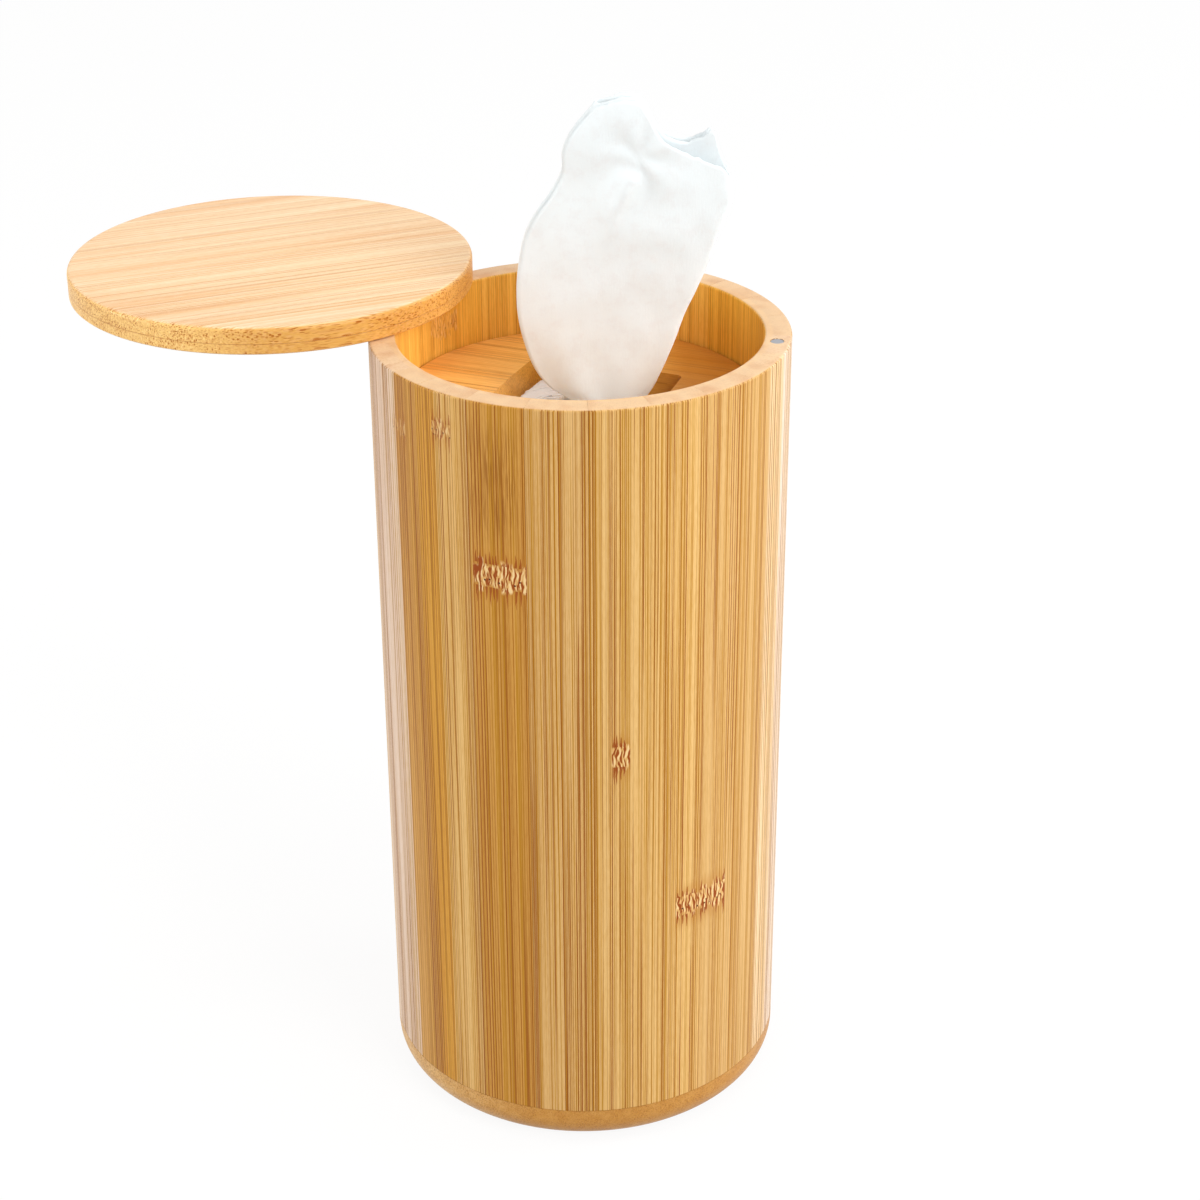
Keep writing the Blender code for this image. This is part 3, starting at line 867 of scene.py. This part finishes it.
def makeMetal(name, tone):
    paint = newPaint(name)
    x, y, z = paint.place()
    often = metalLooks["scuffsPerMm"]
    scuff = paint.noise(paint.vector(x * often, y * often, z * often), 3.0)
    colour = paint.mix(scuff, tone, metalLooks["scuffed"])
    more, less = metalLooks["scuffRough"]
    return paint.finish(colour, scuff * more + metalLooks["roughness"] - less, fixed={"Metallic": 1.0})


def makeMagnets():
    nickel = makeMetal("nickel_plating", metalLooks["nickel"])
    for node, body in (("rim_magnet", "canister"), ("lid_magnet", "lid")):
        low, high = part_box(node)[0][2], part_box(node)[1][2]
        outline = easedDisc(boxRadius(node) - hardware["magnetLip"], low, high, hardware["magnetEase"])
        disc = turnedPiece(node + "_disc", outline, nickel, hardware["magnetFacets"], middle=middleOf(node))
        dress(disc, body, node)
    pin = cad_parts["pivot_pin"]
    pin.data.materials.clear()
    pin.data.materials.append(makeMetal("ground_steel", metalLooks["steel"]))


makeMagnets()
print("magnets and pin made")


# Roll of wipes, one long strip wound on itself

rollShape = {
    "core": 15.0 * mm,
    "layer": 1.15 * mm,
    "slack": 0.06,
    "stations": 100,
    "edgeWave": (0.5 * mm, 0.6, 1.3, 0.9),  # depth, its mean and swing as a share, waves round and by turns
    "bevel": 0.12 * mm,
    "sharpDeg": 60.0,
    # radius, then how far the sheet drags the layers up: under the plate, then more within its opening
    "drawn": ((15.0, 3.4, 4.8), (19.0, 3.4, 4.2), (23.0, 3.4, 3.7), (32.0, 3.3, 3.4), (42.0, 0.4, 0.0),
              (54.0, 0.0, 0.0)),
    "openingHalf": (23.4, 22.2),  # where that second part is none and full, from the axis
    "openingSquare": 12,  # power of the norm that makes it a square with round corners
    "besideWipe": (0.85, 0.2, 0.9),  # share of the drag lost to the right, shift and span of its cosine
}
# Short layers bunched in the roll's core before and behind the wipe, in millimetres
bunchShape = {
    "places": (-14.2, -13.1, -12.0, -10.9, -9.8, 5.5, 6.6, 7.7, 8.8, 9.9, 11.0, 12.1, 13.2),
    "thickness": 1.0,
    "reach": (-11.0, 8.6),  # foot and top, from the roll's top
    "play": 0.3,  # between their sides and the core
    "steps": 32,
    "sideWave": (0.12, 0.9),
    "sidesDrop": 0.9,
    "topWave": (1.2, 5.0, 1.7, 2.2),  # height, length, difference by place, which slice of the noise
    "bevel": 0.15,
}
wipeLooks = {
    # the wipe's white is cooled to offset the orange light that the wood bounces onto it
    "white": rgb(242, 252, 255),
    "thin": rgb(236, 241, 243),
    "rollWhite": rgb(254, 252, 250),
    "rollShade": rgb(250, 246, 243),
    "roughness": 0.95,
    "relief": 0.03 * mm,
    "translucence": 0.08,
    "cloudSize": (3.4, 3.4),
    "cloudHeight": 2.0,
    "dimpleSize": (0.7, 0.7),
    "fibreSize": (0.5, 3.0),
    "worn": (0.35, 0.42, 0.75),  # what dimples add, then where thinning starts and is full
    "thinnerOver": 40.0,  # millimetres above the plate over which the painted dimming of the top grows
    # painted light: share by which the wipe is painted darker towards its top and whiter at its foot, evening
    # out the light on it
    "thinning": 0.6,
}


def makeClothPaint(name, dense, thin, thinning=0.0):  # darker towards the top, where asked: painted to even out the strong light on the top and the shade lower in the opening
    paint = newPaint(name)
    x, y, z = paint.place()
    cloud = paint.stretched(x, y, z, *wipeLooks["cloudSize"], 3.0)
    dimple = paint.stretched(x, y, z, *wipeLooks["dimpleSize"])
    fibres = paint.stretched(x, y, z, *wipeLooks["fibreSize"])
    dimpled, none, full = wipeLooks["worn"]
    worn = paint.smooth(cloud + (dimple - 0.5) * dimpled, none, full) * (1 - thinning)
    # painted dimming of the top, which evens out the strong light up there and the shade lower down
    if thinning:
        start = plateHigh[2] / mm
        worn = worn + paint.smooth(z, start, start + wipeLooks["thinnerOver"]) * thinning
    colour = paint.mix(worn, dense, thin)
    height = cloud * wipeLooks["cloudHeight"] + dimple + fibres
    fixed = {
        "Sheen Weight": 0.2,
        "Sheen Roughness": 0.6,
        "Specular IOR Level": 0.2,
        "Subsurface Weight": wipeLooks["translucence"],
        "Subsurface Radius": (1.0, 1.0, 1.0),
        "Subsurface Scale": 2.0 * mm,
    }
    return paint.finish(colour, wipeLooks["roughness"], height, wipeLooks["relief"], fixed)


def drawnUp(radius, angle):
    under, within = curveAt(rollShape["drawn"], radius)
    turn = angle - math.radians(plateShape["openingTurnDeg"])
    power = rollShape["openingSquare"]
    aside = (abs(math.cos(turn)) ** power + abs(math.sin(turn)) ** power) ** (1 / power)
    aside *= radius + rollShape["layer"] / mm
    none, full = rollShape["openingHalf"]
    lift = under + within * smoothStep((none - aside) / (none - full))
    lost, start, span = rollShape["besideWipe"]
    return lift * (1 - lost * smoothStep((math.cos(angle) + start) / span))


def layerProfile(place, thick, low, top, bevel):
    return ((place, low), (place + thick, low), (place + thick, top - bevel), (place + thick / 2, top),
            (place, top - bevel))


def joinRows(bm, rows):  # a skin through the rows, closed at both ends
    for here, there in zip(rows, rows[1:]):
        for i in range(len(here)):
            j = (i + 1) % len(here)
            bm.faces.new((here[i], there[i], there[j], here[j]))
    bm.faces.new(rows[0])
    bm.faces.new(rows[-1])


def bunchLayers(bm):
    shape = bunchShape
    foot, reach = shape["reach"]
    sway, often = shape["sideWave"]
    high, length, byPlace, part = shape["topWave"]
    for place in shape["places"]:
        far = max(abs(place), abs(place + shape["thickness"]))
        half = math.sqrt((rollShape["core"] / mm) ** 2 - far ** 2) - shape["play"]
        rows = []
        for step in range(shape["steps"] + 1):
            share = 2 * step / shape["steps"] - 1
            wave = noise.noise(Vector((share * half / length, place * byPlace, part)))
            y = place + sway * math.sin(share * half * often + place)
            top = rollHigh[2] / mm + reach - shape["sidesDrop"] * abs(share) ** 3 + high * wave
            corners = layerProfile(y, shape["thickness"], rollHigh[2] / mm + foot, top, shape["bevel"])
            rows.append([bm.verts.new((half * share * mm, depth * mm, z * mm)) for depth, z in corners])
        joinRows(bm, rows)


def makeRoll():
    shape = rollShape
    core, outer = shape["core"], rollHigh[0]
    deep, swing, often, byTurn = shape["edgeWave"]
    turns = (outer - core) / shape["layer"] - 1
    thick = shape["layer"] * (1 - shape["slack"])
    count = int(turns * shape["stations"])
    bm = bmesh.new()
    rows = []
    for step in range(count + 1):
        turn = step / shape["stations"]
        angle = fullTurn * turn
        inner = core + shape["layer"] * turn
        wave = noise.noise(Vector((math.cos(angle) * often, math.sin(angle) * often, turn * byTurn)))
        top = rollHigh[2] - deep * (swing + swing * wave)
        top += drawnUp(inner / mm, angle) * mm
        corners = layerProfile(inner, thick, rollLow[2], top, shape["bevel"])
        rows.append([bm.verts.new((r * math.cos(angle), r * math.sin(angle), z)) for r, z in corners])
    joinRows(bm, rows)
    bunchLayers(bm)
    paint = makeClothPaint("wound_wipes", wipeLooks["rollWhite"], wipeLooks["rollShade"])
    roll = meshPiece("wound_roll", bm, paint, shape["sharpDeg"])
    dress(roll, "canister", "wipes_roll")


# The pulled wipe: a sheet folded in three, gathered in the opening and held up at its top

wipeShape = {
    # millimetres over the plate, then the left and right edges from the canister's axis
    "edges": ((0.0, -3.1, 19.4), (4.0, -9.1, 21.9), (10.0, -13.5, 24.5), (18.5, -16.6, 27.8),
              (26.6, -18.2, 30.6), (34.0, -18.4, 34.0), (42.6, -17.4, 37.6), (50.5, -15.5, 39.3),
              (57.1, -12.2, 40.4), (63.6, -7.8, 41.5), (69.9, -4.9, 42.4), (76.0, -4.6, 43.3),
              (82.2, -1.9, 44.0), (90.2, 4.7, 43.4)),
    # share of the width, then how high the back panels and the front one reach, as shares of the rise
    "topShares": ((0.0, 0.985, 0.985), (0.32, 1.0, 1.0), (0.475, 0.896, 0.890), (0.60, 0.865, 0.850),
                  (0.70, 0.862, 0.828), (0.80, 0.880, 0.812), (0.87, 0.896, 0.795), (0.92, 0.820, 0.785),
                  (1.0, 0.750, 0.750)),
    "topBlendShare": 0.45,
    "raggedness": 0.7,
    "frayed": (1.6, 9.0, 7.7),  # length, difference by panel, which slice of the noise
    "frayedFrom": (0.95, 0.05),  # share of the rise, and over how much it grows
    "foldRadius": 1.7,
    "belly": 3.0,
    "bellyFrom": (10.0, 12.0),  # millimetres under the plate's top, and over how much it grows
    "bellyFlattens": (0.75, 0.55, 0.3),  # by how much, from which share of the rise, and over how much
    "setback": 1.5,
    "coreSide": 13.5,
    "gather": ((-9.0, -13.0, 14.3), (-4.0, -8.5, 17.3)),  # as edges, in the opening
    # folds of the cloth, in millimetres
    "gathers": (0.45, 0.5, 2.2, 0.15),  # share of the rise they fade over, depth, count, start
    "pinch": (17.0, 74.0),
    "pinchRays": (0.6, 16.0, 5, 0.6, 5.0),  # depth, reach, count, turn, and where they start
    "pinchPush": (1.2, 8.0),  # depth and reach
    "crease": ((17.5, 70.0), (9.0, 53.0)),
    "creaseEnds": (0.2, 1.5, 0.8),  # shares of its run: the soft start, the end and the soft end
    "creaseBow": 1.5,
    "creaseDepth": 1.5,
    "creaseSides": (2.8, 1.1),  # how wide it is to its left and its right
    "swells": ((1.8, 24.0, 38.0, 0.3), (0.5, 7.0, 11.0, 4.1)),  # depth, width, height, slice of noise
    "swellsFrom": 0.2,  # share of the rise that they grow over
    "columns": 34,
    "turnSteps": 8,
    "tailRows": 10,
    "rows": 84,
    "thickness": 0.3,
    "sharpDeg": 180.0,
    "flatWidth": 200.0,
    "flatLength": 118.0,
}


def smoothStep(value):
    value = min(max(value, 0.0), 1.0)
    return value * value * (3 - 2 * value)


def curveAt(rows, where):  # a smooth curve through the rows of a table
    last = len(rows) - 1
    where = min(max(where, rows[0][0]), rows[last][0])
    i = next(k for k in range(last) if where <= rows[k + 1][0])
    part = (where - rows[i][0]) / (rows[i + 1][0] - rows[i][0])
    found = []
    for column in range(1, len(rows[0])):
        before, after = rows[max(i - 1, 0)], rows[min(i + 2, last)]
        here, there = rows[i], rows[i + 1]
        span = there[0] - here[0]
        slopeHere = (there[column] - before[column]) / (there[0] - before[0]) * span
        slopeThere = (after[column] - here[column]) / (after[0] - here[0]) * span
        t2, t3 = part * part, part ** 3
        found.append((2 * t3 - 3 * t2 + 1) * here[column] + (t3 - 2 * t2 + part) * slopeHere
                     + (3 * t2 - 2 * t3) * there[column] + (t3 - t2) * slopeThere)
    return found


def foldedPlan(width):
    # across, depth and panel side of each point in plan: three panels and the two turns between them
    r, columns, turns = wipeShape["foldRadius"], wipeShape["columns"], wipeShape["turnSteps"]
    points = [((width - r) * i / columns, -2 * r, -1.0) for i in range(columns)]
    for i in range(turns):
        angle = math.pi * i / turns
        points.append((width - r + r * math.sin(angle), -r - r * math.cos(angle), -0.5))
    points += [(width - r - (width - 2 * r) * i / columns, 0.0, 0.0) for i in range(columns)]
    for i in range(turns):
        angle = math.pi * i / turns
        points.append((r - r * math.sin(angle), r - r * math.cos(angle), 0.5))
    points += [(r + (width - r) * i / columns, 2 * r, 1.0) for i in range(columns + 1)]
    return points


def clothDepth(x, z, part, rise):
    # soft folds up from the gather and out of the pinch, the same for all three panels
    shape = wipeShape
    pinchX, pinchZ = shape["pinch"]
    away = math.hypot(x - pinchX, z - pinchZ)
    angle = math.atan2(z - pinchZ, x - pinchX)
    fade, deep, count, start = shape["gathers"]
    gathered = 1 - smoothStep(rise / fade)
    depth = deep * gathered * math.sin(fullTurn * (count * part + start))
    deep, reach, count, turn, start = shape["pinchRays"]
    depth += deep * math.exp(-away / reach) * math.cos(count * angle + turn) * smoothStep(away / start)
    deep, reach = shape["pinchPush"]
    depth += deep * math.exp(-(away / reach) ** 2)
    (fromX, fromZ), (toX, toZ) = shape["crease"]
    runX, runZ = toX - fromX, toZ - fromZ
    along = ((x - fromX) * runX + (z - fromZ) * runZ) / (runX ** 2 + runZ ** 2)
    aside = ((x - fromX) * runZ - (z - fromZ) * runX) / math.hypot(runX, runZ)
    softStart, end, softEnd = shape["creaseEnds"]
    fold = smoothStep(along / softStart) * smoothStep((end - along) / softEnd)
    aside -= shape["creaseBow"] * math.sin(math.pi * min(max(along, 0.0), 1.0))
    wide = shape["creaseSides"][0 if aside > 0 else 1]
    depth -= shape["creaseDepth"] * fold * math.exp(-abs(aside) / wide)
    for deep, wide, high, where in shape["swells"]:
        swell = deep * noise.noise(Vector((x / wide, z / high, where)))
        depth += swell * smoothStep(rise / shape["swellsFrom"])
    return depth


def wipeStations():
    # height, left, right and share of the rise: the tail in the roll's core, then the free part
    shape = wipeShape
    plateTop = plateHigh[2] / mm
    rise = wipeHigh[2] / mm - plateTop
    foot, rollTop, side = wipeLow[2] / mm, rollHigh[2] / mm, shape["coreSide"]
    left, right = shape["edges"][0][1:]
    lower = [(foot, -side, side), (rollTop, -side, side), *shape["gather"], (plateTop, left, right)]
    lower = [(plateTop + height, a, b) if height < 0 else (height, a, b) for height, a, b in lower]
    stations = []
    for i in range(shape["tailRows"]):
        height = foot + (plateTop - foot) * i / shape["tailRows"]
        stations.append((height, *curveAt(lower, height), 0.0))
    for i in range(shape["rows"] + 1):
        share = i / shape["rows"]
        stations.append((plateTop + rise * share, *curveAt(shape["edges"], rise * share), share))
    return stations, plateTop, rise


def makeWipe():
    shape = wipeShape
    stations, plateTop, rise = wipeStations()
    under, growth = shape["bellyFrom"]
    flatter, flatFrom, flatOver = shape["bellyFlattens"]
    length, byPanel, part = shape["frayed"]
    frayFrom, frayOver = shape["frayedFrom"]
    bm = bmesh.new()
    rows = []
    for height, left, right, share in stations:
        width = right - left
        belly = shape["belly"] * smoothStep((height - plateTop + under) / growth)
        belly *= 1 - flatter * smoothStep((share - flatFrom) / flatOver)
        row = []
        for across, depth, side in foldedPlan(width):
            place = min(max(across / width, 0.0), 1.0)
            back, front = curveAt(shape["topShares"], place)
            drop = 1 - back + (back - front) * max(-side, 0.0)
            drop *= smoothStep((share - shape["topBlendShare"]) / (1 - shape["topBlendShare"]))
            x, z = left + across, height - rise * drop
            frayed = noise.noise(Vector((x / length, side * byPanel, part)))
            z += shape["raggedness"] * (frayed * smoothStep((share - frayFrom) / frayOver))
            y = -shape["setback"] + depth + side * belly * math.sin(math.pi * place)
            y += clothDepth(x, z - plateTop, place, share)
            row.append(bm.verts.new((x * mm, y * mm, z * mm)))
        rows.append(row)
    for here, there in zip(rows, rows[1:]):
        for i in range(len(here) - 1):
            bm.faces.new((here[i], here[i + 1], there[i + 1], there[i]))
    area = sum(face.calc_area() for face in bm.faces)
    paint = makeClothPaint("white_wipe", wipeLooks["white"], wipeLooks["thin"], wipeLooks["thinning"])
    wipe = meshPiece("pulled_wipe_sheet", bm, paint, shape["sharpDeg"])
    shell = wipe.modifiers.new("sheet", "SOLIDIFY")
    shell.thickness, shell.offset = shape["thickness"] * mm, 0.0
    applied(wipe)
    dress(wipe, "plate", "pulled_wipe")  # held in the plate's opening, it comes up with it
    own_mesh(wipe)
    print("wipe area", round(area / mm / mm), "square millimetres")


makeRoll()
makeWipe()
print("roll and wipe made")
